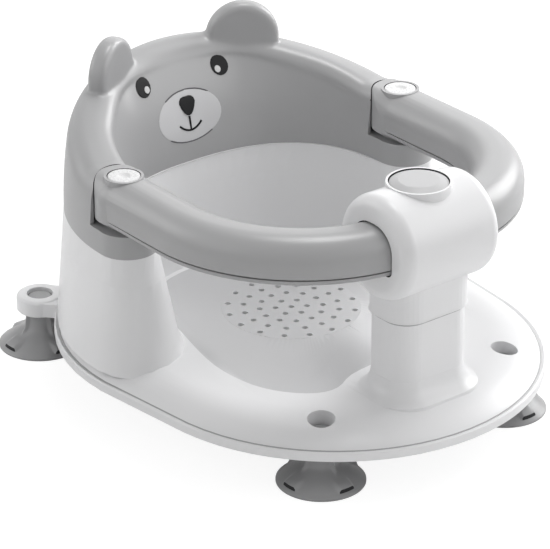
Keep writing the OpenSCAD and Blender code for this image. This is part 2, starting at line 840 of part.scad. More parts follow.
// Head: a barrel across the front of the arms, on a collar that slides over the post
function barrel(t) = let (r = head_r - t, l = head_l / 2 - t, q = head_round - t * 0.6) concat(
    [[0, -l]], arc([r - q, q - l], q, -90, 0, 8), arc([r - q, l - q], q, 0, 90, 8), [[0, l]]
);
module barrel_body(t) {
    translate([0, head_y, head_z])
        rotate([0, 90, 0])
            rotate_extrude()
                polygon(barrel(t));
}
module head_housing() {
    color("white")
        difference() {
            union() {
                difference() {
                    union() {
                        barrel_body(0);
                        post_body(post_w + 2 * collar_t, post_d + 2 * collar_t, post_corner + collar_t, collar_z, head_z - head_r + 12);
                        translate([0, button_y, head_z])
                            cylinder(r = button_d / 2 + button_gap + 1.6, h = button_z + 0.6 - head_z);
                    }
                    barrel_body(wall);
                    post_body(30, 18, 3, spigot_top - 1, head_z);
                }
                translate([0, button_y, well_z - wall])
                    intersection() {
                        cylinder(r = button_d / 2 + button_gap + 1.6, h = button_z - 2 - well_z);
                        translate([0, head_y - button_y, head_z - well_z + wall])
                            rotate([0, 90, 0])
                                translate([0, 0, -50])
                                    cylinder(r = head_r - 1, h = 100);
                    }
                translate([0, button_y, bar_top + lug_gap])
                    cylinder(r = stem_r + 3, h = well_z - bar_top - 1);
                head_screw_places()
                    translate([0, 0, spigot_top])
                        cylinder(r = 4, h = 12);
            }
            post_body(spigot_w + 2 * fit, spigot_d + 2 * fit, spigot_r + fit, collar_z - 1, spigot_top);
            translate([0, button_y, well_z])
                cylinder(r = button_d / 2 + button_gap, h = 40);
            translate([0, button_y, bar_top - 5])
                cylinder(r = stem_r + fit, h = 60);
            both() {
                difference() {
                    translate([recess_x, 0, 0])
                        rotate([90, 0, 90])
                            translate([head_y, arm_z, 0])
                                linear_extrude(height = 20)
                                    polygon(arm_profile(-arm_gap, -arm_gap));
                    translate([0, head_y - 60, arm_z - 30])
                        cube([recess_x, 120, 90]);
                }
                translate([recess_x - 10, head_y - tongue_w / 2 - 8.5, tongue_z - 1])
                    cube([20, tongue_w + 9.5, tongue_h + 2]);
            }
            head_screw_places()
                translate([0, 0, spigot_top - 1])
                    cylinder(r = screw_r, h = 10);
        }
}

// Catch: the button's stem carries a bar whose pegs rise into the arms' tongues
module release_button() {
    color("silver")
        translate([0, button_y, 0]) {
            rotate_extrude()
                polygon(concat(
                    [[0, well_z + button_travel + 0.5], [button_d / 2, well_z + button_travel + 0.5]],
                    arc([button_d / 2 - 0.8, button_z - 0.8], 0.8, 0, 75, 4),
                    [[crown_d / 2 + 0.8, button_z + crown_h - 0.15], [crown_d / 2, button_z + crown_h]],
                    [[0, button_z + crown_h]]
                ));
            translate([0, 0, bar_top - bar_h])
                cylinder(r = stem_r, h = well_z + button_travel + 1 - bar_top + bar_h);
        }
}
module catch_bar() {
    color("silver")
        difference() {
            union() {
                translate([-peg_x - 2.4, button_y - 5, bar_top - bar_h])
                    cube([2 * peg_x + 4.8, 8, bar_h]);
                translate([0, button_y, bar_top - bar_h])
                    cylinder(r = stem_r + 3, h = bar_h);
                both()
                    translate([peg_x, head_y, bar_top - bar_h])
                        cylinder(r = 2.4, h = tongue_z - 0.5 - bar_top + bar_h);
            }
            translate([0, button_y, 0])
                cylinder(r = stem_r + 0.05, h = 200);
        }
}
module button_spring() {
    turns = 4;
    n = 12 * turns;
    w = 0.8;
    r = 5.6;
    z0 = spigot_top + w;
    z1 = bar_top - bar_h - w;
    color("silver")
        loft([
            for (i = [0 : n])
                let (a = 30 * i, c = [r * cos(a), button_y + r * sin(a), mix(z0, z1, clamp01((i - 8) / (n - 16)))])
                [
                    for (k = [5 : -1 : 0])
                        c + w * [cos(60 * k) * cos(a), cos(60 * k) * sin(a), sin(60 * k)]
                ]
        ]);
}

// Suction cup: a flared skirt with raised pull tabs, a neck in the web of the base and a round head
module pull_tab() {
    r = cup_d / 2;
    translate([0, tab_w / 2, 0])
        rotate([90, 0, 0])
            linear_extrude(height = tab_w)
                polygon([
                    [r * 0.66, 5], [r * 0.84, 3], [r * 0.88, 4.4], [r * 0.93, 5], [r * 0.98, 5.6],
                    [r * 0.985, 7.2], [r * 0.88, 7.6], [r * 0.78, 7.6], [r * 0.66, 9]
                ]);
}
module neck_rib() {
    translate([0, 0.8, 0])
        rotate([90, 0, 0])
            linear_extrude(height = 1.6)
                polygon([[8, web_z - 2], [11.2, web_z - 2], [12.4, mix(12.6, web_z, 0.45)], [16, 12.6], [16, 9], [8, 9]]);
}
module suction_cup() {
    r = cup_d / 2;
    color("dimgray")
        union() {
            rotate_extrude()
                polygon(concat(
                    [
                        [0, 5.5], [r * 0.34, 5], [r * 0.66, 3], [r - 1.2, 0], [r, 0], [r, 1.1], [r * 0.9, 3.6],
                        [r * 0.72, 7.4], [r * 0.5, 11.6], [11.4, 14.6], [10.2, mix(14.6, web_z, 0.3)], [10, web_z - 1], [9.6, web_z],
                        [neck_r, web_z], [neck_r, web_z + web_t], [8.6, web_z + web_t]
                    ],
                    arc([6.6, cup_h - 2], 2, 0, 90, 4),
                    [[0, cup_h]]
                ));
            for (a = [0 : 90 : 270])
                rotate([0, 0, a]) {
                    pull_tab();
                    neck_rib();
                }
        }
}
module front_right_cup() {
    translate([front_cup_x, front_cup_y, 0])
        suction_cup();
}
module front_left_cup() {
    mirror([1, 0, 0])
        front_right_cup();
}
module rear_right_cup() {
    translate([rear_cup_x, rear_cup_y, 0])
        suction_cup();
}
module rear_left_cup() {
    mirror([1, 0, 0])
        rear_right_cup();
}

// Screws, seen from below: a pan head under a plate and a shank in the boss above it
module screw(len) {
    difference() {
        union() {
            translate([0, 0, -2])
                cylinder(r = 2.8, h = 2);
            translate([0, 0, -0.5])
                cylinder(r = screw_r, h = len + 0.5);
        }
        cross_slot(-6, 3);
    }
}
module backrest_screws() {
    color("silver")
        backrest_screw_places()
            translate([0, 0, split_z - wall])
                screw(14);
}
module head_screws() {
    color("silver")
        head_screw_places()
            translate([0, 0, spigot_top - wall])
                screw(10);
}

base_shell();
bear_backrest();
muzzle();
nose();
mouth();
left_eye();
right_eye();
left_eye_glint();
right_eye_glint();
left_arm();
right_arm();
left_arm_cover();
right_arm_cover();
left_hinge_pin();
right_hinge_pin();
left_hinge_screw();
right_hinge_screw();
left_hinge_cap();
right_hinge_cap();
head_housing();
release_button();
catch_bar();
button_spring();
front_left_cup();
front_right_cup();
rear_left_cup();
rear_right_cup();
backrest_screws();
head_screws();
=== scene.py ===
# %% [markdown]
# # A baby bath seat, dressed for its picture
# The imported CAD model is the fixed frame: a white base with a back wall and a front post, a grey
# backrest with two ears and an animal's face, two grey arms on hinges, a barrel-shaped head with
# a push button, and four suction cups. This lesson keeps that frame as it is. Most pieces are
# copies of its meshes with lips and chamfers added, the backrest and the cups are modelled again,
# and each piece gets a finish made of shader nodes.

# %% Load the frame
import json
import math
import bpy
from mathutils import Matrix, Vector

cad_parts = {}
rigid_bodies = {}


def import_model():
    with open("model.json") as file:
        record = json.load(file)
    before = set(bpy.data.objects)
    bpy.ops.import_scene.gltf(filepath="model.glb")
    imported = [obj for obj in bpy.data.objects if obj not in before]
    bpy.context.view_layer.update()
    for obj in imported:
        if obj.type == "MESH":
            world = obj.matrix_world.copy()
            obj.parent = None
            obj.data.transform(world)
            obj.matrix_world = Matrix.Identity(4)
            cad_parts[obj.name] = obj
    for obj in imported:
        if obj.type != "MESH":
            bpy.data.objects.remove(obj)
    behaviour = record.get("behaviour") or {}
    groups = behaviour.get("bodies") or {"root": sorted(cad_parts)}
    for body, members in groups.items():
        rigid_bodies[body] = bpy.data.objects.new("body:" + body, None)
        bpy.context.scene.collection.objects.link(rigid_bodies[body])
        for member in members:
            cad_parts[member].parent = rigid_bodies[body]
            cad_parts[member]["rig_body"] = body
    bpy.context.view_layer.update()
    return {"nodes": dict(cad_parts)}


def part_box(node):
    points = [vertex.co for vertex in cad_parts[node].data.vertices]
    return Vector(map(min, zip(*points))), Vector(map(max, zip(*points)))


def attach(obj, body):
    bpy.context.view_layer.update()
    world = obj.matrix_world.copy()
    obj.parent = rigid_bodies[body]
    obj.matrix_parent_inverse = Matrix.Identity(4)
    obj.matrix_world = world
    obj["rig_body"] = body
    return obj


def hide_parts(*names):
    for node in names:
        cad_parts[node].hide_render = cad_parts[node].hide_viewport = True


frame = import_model()
nodes = frame["nodes"]
print("CAD nodes:", len(nodes))

# %% [markdown]
# ## Small helpers
# Operators act on what is selected, so each step starts from an empty selection. Sizes are easier
# to read in millimetres, so `MM` turns them into metres where they are used.

# %% Selection helpers
MM = 0.001


def only(obj):
    """Selects one object and makes it the active one."""
    bpy.ops.object.select_all(action="DESELECT")
    obj.select_set(True)
    bpy.context.view_layer.objects.active = obj


def apply_all(obj):
    """Applies every modifier of an object, from the first to the last."""
    only(obj)
    for name in [m.name for m in obj.modifiers]:
        bpy.ops.object.modifier_apply(modifier=name)


bpy.ops.object.select_all(action="DESELECT")
bpy.context.scene.view_settings.view_transform = "Standard"
print("helpers are ready, view transform:", bpy.context.scene.view_settings.view_transform)

# %% [markdown]
# ## Camera
# The photograph was measured first: a long lens looks down at the seat from its front left. The
# camera stands at the place that those measurements gave, and it needs no shift.

# %% Camera
# Metres, degrees and millimetres of film
CAMERA_PLACE = (-1.2772, -1.5746, 1.0656)
CAMERA_TILT, CAMERA_TURN = 64.04, -38.6
LENS, SENSOR = 214.2, 36

camera = bpy.data.objects.new("camera", bpy.data.cameras.new("camera"))
bpy.context.scene.collection.objects.link(camera)
camera.location = CAMERA_PLACE
camera.rotation_euler = (math.radians(CAMERA_TILT), 0, math.radians(CAMERA_TURN))
camera.data.lens = LENS
camera.data.sensor_width = SENSOR
camera.data.clip_end = 20
bpy.context.scene.camera = camera
print("camera at", tuple(camera.location))

# %% [markdown]
# ## Light and floor
# The photograph has a white background, soft light from above and the left, and only a faint
# shadow. A white world is what the camera and the reflections see, and a dimmer one lights the
# object. Six soft lamps all round give the form. To the camera the floor is a glow just under
# white with a faint shade on it, and to every other ray it is plain white paper.

# %% World
WHITE = (1, 1, 1, 1)
SKY_LIGHT, SKY_SEEN = 0.44, 1.0

world = bpy.data.worlds.new("studio")
bpy.context.scene.world = world
world.use_nodes = True
wn = world.node_tree
wn.nodes.clear()
sky = wn.nodes.new("ShaderNodeBackground")
seen = wn.nodes.new("ShaderNodeBackground")
path = wn.nodes.new("ShaderNodeLightPath")
either = [wn.nodes.new("ShaderNodeMath") for _ in range(2)]
for node in either:
    node.operation = "MAXIMUM"
mix_sky = wn.nodes.new("ShaderNodeMixShader")
world_out = wn.nodes.new("ShaderNodeOutputWorld")
sky.inputs["Color"].default_value = WHITE
sky.inputs["Strength"].default_value = SKY_LIGHT
seen.inputs["Color"].default_value = WHITE
seen.inputs["Strength"].default_value = SKY_SEEN
for a, b in [
    (path.outputs["Is Camera Ray"], either[0].inputs[0]),
    (path.outputs["Is Glossy Ray"], either[0].inputs[1]),
    (either[0].outputs[0], either[1].inputs[0]),
    (path.outputs["Is Transmission Ray"], either[1].inputs[1]),
    (either[1].outputs[0], mix_sky.inputs[0]),
    (sky.outputs[0], mix_sky.inputs[1]),
    (seen.outputs[0], mix_sky.inputs[2]),
    (mix_sky.outputs[0], world_out.inputs["Surface"]),
]:
    wn.links.new(a, b)
print("the world is white for the camera and in reflections")


# %% Lamps
LAMP_AIM = (0, 0, 0.1)
LAMPS = [
    # Name, place and size in metres, and watts
    ("high", (0.3, 0.1, 1.5), 0.5, 7.2),
    ("right", (1.6, 0.0, 0.9), 1.0, 20),
    ("right_back", (1.2, 1.2, 0.9), 1.0, 2.6),
    ("left", (-1.6, 0.1, 0.9), 1.0, 1.4),
    ("left_back", (-1.2, 1.2, 0.9), 1.0, 5.5),
    ("front_right", (0.9, -1.4, 1.0), 1.0, 5.5),
]


def soft_lamp(name, place, size, watts):
    """Adds a square soft lamp that looks at the middle of the seat."""
    lamp = bpy.data.objects.new(name, bpy.data.lights.new(name, "AREA"))
    bpy.context.scene.collection.objects.link(lamp)
    lamp.location = place
    lamp.rotation_euler = (Vector(LAMP_AIM) - Vector(place)).to_track_quat("-Z", "Y").to_euler()
    lamp.data.size = size
    lamp.data.energy = watts


for row in LAMPS:
    soft_lamp(*row)
print("lamps:", len(LAMPS))

# %% Floor
FLOOR_SIZE, FLOOR_DROP = 8, 0.0002
PAPER, SHADED = 0.9, 0.24
GLOW = 0.88

bpy.ops.mesh.primitive_plane_add(size=FLOOR_SIZE, location=(0, 0, -FLOOR_DROP))
floor = bpy.context.object
floor.name = "floor"
paper = bpy.data.materials.new("floor_paper")
paper.use_nodes = True
pn = paper.node_tree
shade = pn.nodes["Principled BSDF"]
shade.inputs["Base Color"].default_value = (PAPER, PAPER, PAPER, 1)
shade.inputs["Roughness"].default_value = 0.9
shade.inputs["Specular IOR Level"].default_value = 0.1
glow = pn.nodes.new("ShaderNodeEmission")
glow.inputs["Strength"].default_value = GLOW
faint = pn.nodes.new("ShaderNodeBsdfDiffuse")
faint.inputs["Color"].default_value = (SHADED, SHADED, SHADED, 1)
view_path = pn.nodes.new("ShaderNodeLightPath")
both_shades = pn.nodes.new("ShaderNodeAddShader")
blend = pn.nodes.new("ShaderNodeMixShader")
for a, b in [
    (glow.outputs[0], both_shades.inputs[0]),
    (faint.outputs[0], both_shades.inputs[1]),
    (view_path.outputs["Is Camera Ray"], blend.inputs[0]),
    (shade.outputs[0], blend.inputs[1]),
    (both_shades.outputs[0], blend.inputs[2]),
    (blend.outputs[0], pn.nodes["Material Output"].inputs["Surface"]),
]:
    pn.links.new(a, b)
floor.data.materials.append(paper)
print("floor:", FLOOR_SIZE, "m wide")

# %% [markdown]
# ## Finishes
# Moulded plastic is never quite even. A fine spark-eroded grain breaks the gloss and lifts the
# surface by a hair, and the colour drifts a little. One node group makes this, and every plastic
# uses it with its own values.


# %% Group for moulded surfaces
def group_sockets(tree, ins, outs):
    """Gives a node group its named inputs and outputs."""
    for name, kind, value in ins:
        s = tree.interface.new_socket(name, in_out="INPUT", socket_type=kind)
        s.default_value = value
    for name, kind in outs:
        tree.interface.new_socket(name, in_out="OUTPUT", socket_type=kind)


grain = bpy.data.node_groups.new("moulded_surface", "ShaderNodeTree")
group_sockets(
    grain,
    [("Colour", "NodeSocketColor", WHITE),
     ("Tint", "NodeSocketColor", (0.9, 0.9, 0.9, 1)),
     ("Grain scale", "NodeSocketFloat", 900),
     ("Rough low", "NodeSocketFloat", 0.3),
     ("Rough high", "NodeSocketFloat", 0.4)],
    [("Colour", "NodeSocketColor"),
     ("Roughness", "NodeSocketFloat"),
     ("Height", "NodeSocketFloat")],
)
g_in = grain.nodes.new("NodeGroupInput")
g_out = grain.nodes.new("NodeGroupOutput")
where = grain.nodes.new("ShaderNodeTexCoord")
drift = grain.nodes.new("ShaderNodeTexNoise")
drift.inputs["Scale"].default_value = 9
drift.inputs["Detail"].default_value = 2
fine = grain.nodes.new("ShaderNodeTexNoise")
fine.inputs["Detail"].default_value = 1
hue = grain.nodes.new("ShaderNodeMix")
hue.data_type = "RGBA"
gloss = grain.nodes.new("ShaderNodeMapRange")
gloss.inputs["From Min"].default_value = 0.35
gloss.inputs["From Max"].default_value = 0.65
for a, b in [
    (where.outputs["Object"], drift.inputs["Vector"]),
    (where.outputs["Object"], fine.inputs["Vector"]),
    (g_in.outputs["Grain scale"], fine.inputs["Scale"]),
    (drift.outputs["Fac"], hue.inputs["Factor"]),
    (g_in.outputs["Colour"], hue.inputs["A"]),
    (g_in.outputs["Tint"], hue.inputs["B"]),
    (hue.outputs["Result"], g_out.inputs["Colour"]),
    (fine.outputs["Fac"], gloss.inputs["Value"]),
    (g_in.outputs["Rough low"], gloss.inputs["To Min"]),
    (g_in.outputs["Rough high"], gloss.inputs["To Max"]),
    (gloss.outputs["Result"], g_out.inputs["Roughness"]),
    (fine.outputs["Fac"], g_out.inputs["Height"]),
]:
    grain.links.new(a, b)
print("group:", grain.name)


# %% A plastic made with the group
BUMP_DEPTH = 0.2 * MM


def plastic(name, colour, tint, scale, rough, bump, specular=0.5):
    """A moulded plastic: the shared grain drives colour, roughness and a fine bump."""
    m = bpy.data.materials.new(name)
    m.use_nodes = True
    t = m.node_tree
    b = t.nodes["Principled BSDF"]
    g = t.nodes.new("ShaderNodeGroup")
    g.node_tree = grain
    g.inputs["Colour"].default_value = (*colour, 1)
    g.inputs["Tint"].default_value = (*tint, 1)
    g.inputs["Grain scale"].default_value = scale
    g.inputs["Rough low"].default_value = rough[0]
    g.inputs["Rough high"].default_value = rough[1]
    bumps = t.nodes.new("ShaderNodeBump")
    bumps.inputs["Strength"].default_value = bump
    bumps.inputs["Distance"].default_value = BUMP_DEPTH
    t.links.new(g.outputs["Colour"], b.inputs["Base Color"])
    t.links.new(g.outputs["Roughness"], b.inputs["Roughness"])
    t.links.new(g.outputs["Height"], bumps.inputs["Height"])
    t.links.new(bumps.outputs["Normal"], b.inputs["Normal"])
    b.inputs["Specular IOR Level"].default_value = specular
    return m


print("plastics share the group", grain.name)

# %% White and grey mouldings
# Each row holds: name, colour, tint, grain scale, roughness from and to, bump, specular level
white = plastic("white_shell", (0.8, 0.8, 0.805), (0.775, 0.775, 0.785),
                700, (0.28, 0.36), 0.05, 0.4)
# The pan's white is darker than the shell's: painted shade for the pan's hollow
pan_painted_shade = plastic("white_pan_painted_shade", (0.58, 0.58, 0.585), (0.55, 0.55, 0.56),
                    1500, (0.42, 0.52), 0.15, 0.35)
# The caps' white is darker than the shell's: painted shade that tones down their bright tops
cap_white_shaded = plastic("white_cap", (0.7, 0.7, 0.7), (0.68, 0.68, 0.685), 700, (0.25, 0.32), 0.04)
# A darker white for the catch bar inside the head: painted shade for a part in the dark
inner_white_shaded = plastic("inner_plastic", (0.6, 0.6, 0.61), (0.56, 0.56, 0.57), 700, (0.4, 0.5), 0.1)
grey = plastic("grey_plastic", (0.365, 0.365, 0.37), (0.345, 0.345, 0.35),
               1400, (0.33, 0.41), 0.1, 0.85)
dark_grey = plastic("dark_grey_plastic", (0.34, 0.34, 0.345), (0.32, 0.32, 0.325),
                    1400, (0.35, 0.43), 0.1, 0.85)
button_grey = plastic("button_plastic", (0.5, 0.5, 0.505), (0.48, 0.48, 0.485),
                      1100, (0.36, 0.44), 0.1)
print("mouldings:", white.name, grey.name)

# %% Prints, and painted shade for the muzzle's seam, creases and gaps
muzzle_grey = plastic("muzzle_print", (0.6, 0.6, 0.61), (0.57, 0.57, 0.58),
                      1400, (0.45, 0.55), 0.15)
# A fine dark line of painted shade for the seam round the muzzle
muzzle_edge_shade = plastic("muzzle_edge_painted_shade", (0.1, 0.1, 0.105), (0.08, 0.08, 0.085),
                    1400, (0.5, 0.6), 0.1)
ink = plastic("dark_print", (0.006, 0.006, 0.007), (0.009, 0.009, 0.01),
              1400, (0.4, 0.48), 0.05, 0.2)
glint_white = plastic("white_print", (0.62, 0.62, 0.62), (0.6, 0.6, 0.6),
                      1400, (0.3, 0.38), 0.05)
# Painted shade for the groove along the base's edge and for the band under the collar
crease_painted_shade = plastic("crease", (0.42, 0.42, 0.425), (0.38, 0.38, 0.385),
                      900, (0.5, 0.6), 0.05, 0.2)
# Painted shade for deep gaps, slits and holes that look black
gap_painted_shade = plastic("gap_painted_shade", (0.03, 0.03, 0.032), (0.022, 0.022, 0.024),
                   900, (0.55, 0.65), 0.05, 0.2)
print("prints:", muzzle_grey.name, ink.name)

# %% Rubber, steel and the finish of each piece
rubber = plastic("cup_rubber", (0.33, 0.33, 0.335), (0.3, 0.3, 0.305), 500, (0.3, 0.4), 0.06)
steel = plastic("steel", (0.55, 0.55, 0.57), (0.5, 0.5, 0.52), 1600, (0.25, 0.35), 0.1)
steel.node_tree.nodes["Principled BSDF"].inputs["Metallic"].default_value = 1.0

# The first word that is found in a node's name counts, so that arm_cover comes before arm
FINISH = {
    "base_shell": white, "head_housing": white, "hinge_cap": cap_white_shaded,
    "arm_cover": dark_grey, "arm": grey, "muzzle": muzzle_grey, "nose": ink, "mouth": ink,
    "glint": glint_white, "eye": ink, "release_button": button_grey, "catch_bar": inner_white_shaded,
    "spring": steel, "pin": steel, "screw": steel,
}


def finish_of(name):
    """The finish of a piece, found by a word in its name."""
    return next(m for word, m in FINISH.items() if word in name)


print("finishes:", len(set(FINISH.values())))

# %% [markdown]
# ## Merged copies of the CAD pieces
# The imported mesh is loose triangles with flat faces. A copy of it is merged into one skin, so that
# it can be edited and shaded as a moulding. The CAD object itself stays as it is and is only
# hidden, because the copy stands for it.


# %% Copy and merge
def merged_copy(node):
    """A copy of a CAD node, merged into one skin, which stands for the node."""
    src = nodes[node]
    piece = bpy.data.objects.new(node + "_skin", src.data.copy())
    bpy.context.scene.collection.objects.link(piece)
    only(piece)
    bpy.ops.mesh.customdata_custom_splitnormals_clear()
    bpy.ops.object.mode_set(mode="EDIT")
    bpy.ops.mesh.select_all(action="SELECT")
    bpy.ops.mesh.remove_doubles(threshold=0.01 * MM)
    bpy.ops.object.mode_set(mode="OBJECT")
    piece.data.materials.clear()
    piece.data.materials.append(finish_of(node))
    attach(piece, src["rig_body"])
    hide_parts(node)
    return piece


CUPS = ("front_left_cup", "front_right_cup", "rear_left_cup", "rear_right_cup")
skins = {name: merged_copy(name) for name in sorted(nodes)
         if name not in CUPS and name != "bear_backrest"}
print("merged copies:", len(skins))


# %% Helpers that cut and move
def cut_ring(piece, place, normal):
    """Adds a ring of edges where a plane crosses the piece; the place is in millimetres."""
    only(piece)
    bpy.ops.object.mode_set(mode="EDIT")
    bpy.ops.mesh.select_all(action="SELECT")
    bpy.ops.mesh.bisect(plane_co=[v * MM for v in place], plane_no=normal)
    bpy.ops.object.mode_set(mode="OBJECT")


def pick(piece, test):
    """Selects the vertices whose place in millimetres passes a test, and starts edit mode."""
    only(piece)
    bpy.ops.object.mode_set(mode="EDIT")
    bpy.ops.mesh.select_mode(type="VERT")
    bpy.ops.mesh.select_all(action="DESELECT")
    bpy.ops.object.mode_set(mode="OBJECT")
    for v in piece.data.vertices:
        v.select = bool(test(*(c / MM for c in v.co)))
    count = sum(v.select for v in piece.data.vertices)
    bpy.ops.object.mode_set(mode="EDIT")
    return count


def swell(piece, test, amount):
    """Moves the picked vertices along their normals, by millimetres; inwards where negative."""
    count = pick(piece, test)
    if count:
        bpy.ops.transform.shrink_fatten(value=amount * MM)
    bpy.ops.object.mode_set(mode="OBJECT")
    return count


UP = (0, 0, 1)
print("cuts and moves are ready")


# %% Helpers that paint, and fixed places
def paint(piece, material, test):
    """Gives a second finish to the faces whose middle and normal pass a test."""
    if material.name not in piece.data.materials:
        piece.data.materials.append(material)
    slot = piece.data.materials.find(material.name)
    count = 0
    for f in piece.data.polygons:
        if test(*(c / MM for c in f.center), *f.normal):
            f.material_index = slot
            count += 1
    return count


def off_round_rect(x, y, width, depth, corner):
    """Distance in millimetres from a rounded rectangle's outline, negative inside."""
    a, b = abs(x) - width / 2 + corner, abs(y) - depth / 2 + corner
    return math.hypot(max(a, 0), max(b, 0)) + min(max(a, b), 0) - corner


HINGE = (120.5, 35.0)
HEAD_Y = -126.0
BUTTON_Y = -124.0
print("hinges at", HINGE, "head at", HEAD_Y, "button at", BUTTON_Y)

# %% [markdown]
# ## Backrest
# The real backrest has a soft roll along its top. From the inner face it turns over a rounded
# edge, rises a little along a broad band, and falls in a large curve to the outer face. The form
# is a grid that is bent round the seat: one direction of the grid runs along the wall, and the
# other goes round its section. The ears are rounded discs. A voxel remesh melts them into one skin
# with soft joints, and the pockets for the hinges are cut last, so that their edges stay crisp.

# %% Curves of the backrest
BACK_Y, SPLIT_Z, ARM_TOP, CREST_H, RIDGE_R = 31.0, 124.0, 174.5, 205.0, 120.0
INNER_X, INNER_Y, INNER_POWER = 101, 87, 2.45
LEAN_R = 125
OUTER_R, OUTER_CURVE = 142, 0.0014


def blend_to(a, b, t):
    """The value a share t of the way from a to b."""
    return a + (b - a) * t


def soft_step(t):
    """Goes from 0 to 1 with soft ends while t does."""
    t = min(1.0, max(0.0, t))
    return t * t * (3 - 2 * t)


def bend(a, b, c, t):
    """A point on the curve that leaves a and reaches c, pulled towards b."""
    return tuple((1 - t) ** 2 * i + 2 * t * (1 - t) * j + t * t * k for i, j, k in zip(a, b, c))


def lean(z):
    """How far the inner face leans outwards at a height."""
    return LEAN_R - math.sqrt(LEAN_R ** 2 - (max(z, SPLIT_Z) - SPLIT_Z) ** 2)


def squarish(turn):
    """Radius of the inner face's rounded outline in a direction."""
    c, s = abs(math.cos(turn)), abs(math.sin(turn))
    return ((c / INNER_X) ** INNER_POWER + (s / INNER_Y) ** INNER_POWER) ** (-1 / INNER_POWER)


def outer_face(z):
    """Radius of the outer face at a height."""
    return OUTER_R - OUTER_CURVE * (z - SPLIT_Z) ** 2


print("outline from", squarish(0), "to", squarish(math.pi / 2), "mm")


# %% Section of the backrest
SIDE_DROP = 15
LOW_TURN = 76


def back_section(degrees):
    """Radius and height of the points round the section at one place of the wall."""
    q = abs(degrees - 90)
    top = ARM_TOP + (CREST_H - ARM_TOP) * math.cos(math.radians(90 * min(q, LOW_TURN) / LOW_TURN))
    share = blend_to(1, 0.45, soft_step((q - 24) / 28))
    inner = squarish(math.radians(degrees))
    rim = inner + lean(top - 14.5) * share
    # The inner face ends in a corner, and the broad band runs from there to the ridge
    drop = blend_to(7.5, 0.5, soft_step(q / 75))
    corner = (rim + blend_to(3.2, 1.2, soft_step(q / 50)), top - drop)
    ridge = (RIDGE_R, top)
    # The corner is rounded between a point below it and a point on the band
    soft = blend_to(5.0, 9.5, soft_step((q - 15) / 50))
    band = math.hypot(ridge[0] - corner[0], ridge[1] - corner[1])
    after = tuple(blend_to(c, r, min(0.8, soft / band)) for c, r in zip(corner, ridge))
    before = (blend_to(corner[0], rim, min(1, soft / 7)), corner[1] - soft)
    heights = [blend_to(SPLIT_Z, before[1] - 1, i / 12) for i in range(13)]
    points = [(inner + lean(z) * share, z) for z in heights]
    points += [bend(before, corner, after, i / 8) for i in range(9)]
    # From the ridge one large curve falls to the outer face
    outer = (outer_face(top), top)
    side = (outer_face(top - SIDE_DROP), top - SIDE_DROP)
    past = bend(ridge, outer, side, 0.25)
    points += [bend(after, ridge, past, i / 5) for i in range(1, 6)]
    points += [bend(ridge, outer, side, i / 12) for i in range(4, 13)]
    heights = [blend_to(top - SIDE_DROP, SPLIT_Z, i / 8) for i in range(1, 9)]
    return points + [(outer_face(z), z) for z in heights]


print("points round a section:", len(back_section(90)))


# %% Grid helper
def bend_grid(name, along, across, place):
    """A grid whose vertices are carried to place(u, v) in millimetres and closed to a solid."""
    bpy.ops.object.select_all(action="DESELECT")
    bpy.ops.mesh.primitive_grid_add(x_subdivisions=along, y_subdivisions=across, size=2)
    form = bpy.context.object
    form.name = name
    for v in form.data.vertices:
        x, y, z = place(round((v.co.x + 1) / 2 * along), round((v.co.y + 1) / 2 * across))
        v.co = (x * MM, y * MM, z * MM)
    only(form)
    bpy.ops.object.mode_set(mode="EDIT")
    bpy.ops.mesh.select_all(action="SELECT")
    bpy.ops.mesh.remove_doubles(threshold=0.002 * MM)
    bpy.ops.mesh.fill_holes(sides=0)
    bpy.ops.mesh.select_all(action="SELECT")
    bpy.ops.mesh.normals_make_consistent(inside=False)
    bpy.ops.object.mode_set(mode="OBJECT")
    return form


def carve(piece, cutter):
    """Cuts one closed form out of another and removes the cutter."""
    cut = piece.modifiers.new("cut", "BOOLEAN")
    cut.operation = "DIFFERENCE"
    cut.solver = "EXACT"
    cut.object = cutter
    apply_all(piece)
    bpy.data.objects.remove(cutter)


# %% Wall, ends and ears
WALL_FOOT = 116.0
END_X, END_R = 121.5, 20.5
EAR_X, EAR_Y, EAR_Z, EAR_TURN = 57.69, 135.08, 199, 29
EAR_R, EAR_THICK, EAR_EDGE = 26, 14, 4.6
VOXEL = 1.25

sections = [back_section(i) for i in range(181)]
sections = [c + [(c[-1][0], WALL_FOOT), (c[0][0], WALL_FOOT), c[0]] for c in sections]


def wall_point(i, k):
    """A point of the wall: i degrees round the seat, k steps round the section."""
    r, z = sections[i][k]
    turn = math.radians(i)
    return r * math.cos(turn), BACK_Y + r * math.sin(turn), z


def rod(x, y, z, radius, length, turn=(0, 0, 0), vertices=96):
    """A cylinder, by the place of its middle in millimetres."""
    bpy.ops.mesh.primitive_cylinder_add(vertices=vertices, radius=radius * MM, depth=length * MM,
                                        location=(x * MM, y * MM, z * MM), rotation=turn)
    return bpy.context.object


backrest = bend_grid("backrest", 180, len(sections[0]) - 1, wall_point)
forms = [backrest]
for sign in (-1, 1):
    forms.append(rod(sign * END_X, BACK_Y, 133, END_R, 34))
    forms.append(rod(sign * EAR_X, EAR_Y, EAR_Z, EAR_R, EAR_THICK,
                     (math.pi / 2, 0, -sign * math.radians(EAR_TURN))))
    bpy.ops.object.mode_set(mode="EDIT")
    bpy.ops.mesh.select_all(action="DESELECT")
    bpy.ops.mesh.edges_select_sharp(sharpness=math.radians(40))
    bpy.ops.mesh.bevel(offset=EAR_EDGE * MM, segments=6)
    bpy.ops.object.mode_set(mode="OBJECT")
print("forms of the backrest:", len(forms))

